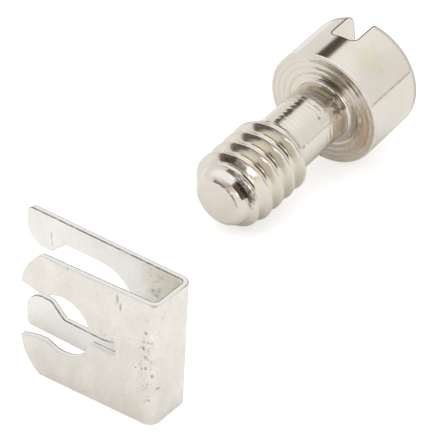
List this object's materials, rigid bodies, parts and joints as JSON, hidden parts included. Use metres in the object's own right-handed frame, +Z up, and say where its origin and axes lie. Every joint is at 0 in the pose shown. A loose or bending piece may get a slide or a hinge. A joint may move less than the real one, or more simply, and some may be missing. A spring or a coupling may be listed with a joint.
{
  "type": "captive panel screw with retaining clip",
  "caption": "Slotted cheese-head captive screw with a reduced neck, lying beside its folded spring-steel retaining clip, which has a keyhole leg and a longer slotted leg.",
  "frame": {"origin": "on the surface that both pieces rest on, under the middle of their common box", "axes": "+Z up; X along the legs of the clip, from the free ends to the fold; +Y from the short leg of the clip toward the head of the screw"},
  "size_m": [0.0064, 0.0184, 0.0046],
  "materials": {
    "screw_plating": "bright nickel plate over turned metal, fine turning rings",
    "clip_steel": "satin plated spring steel with bright cut edges"
  },
  "bodies": {
    "root": {"captive_screw": "screw_plating", "retaining_clip": "clip_steel"}
  },
  "joints": []
}
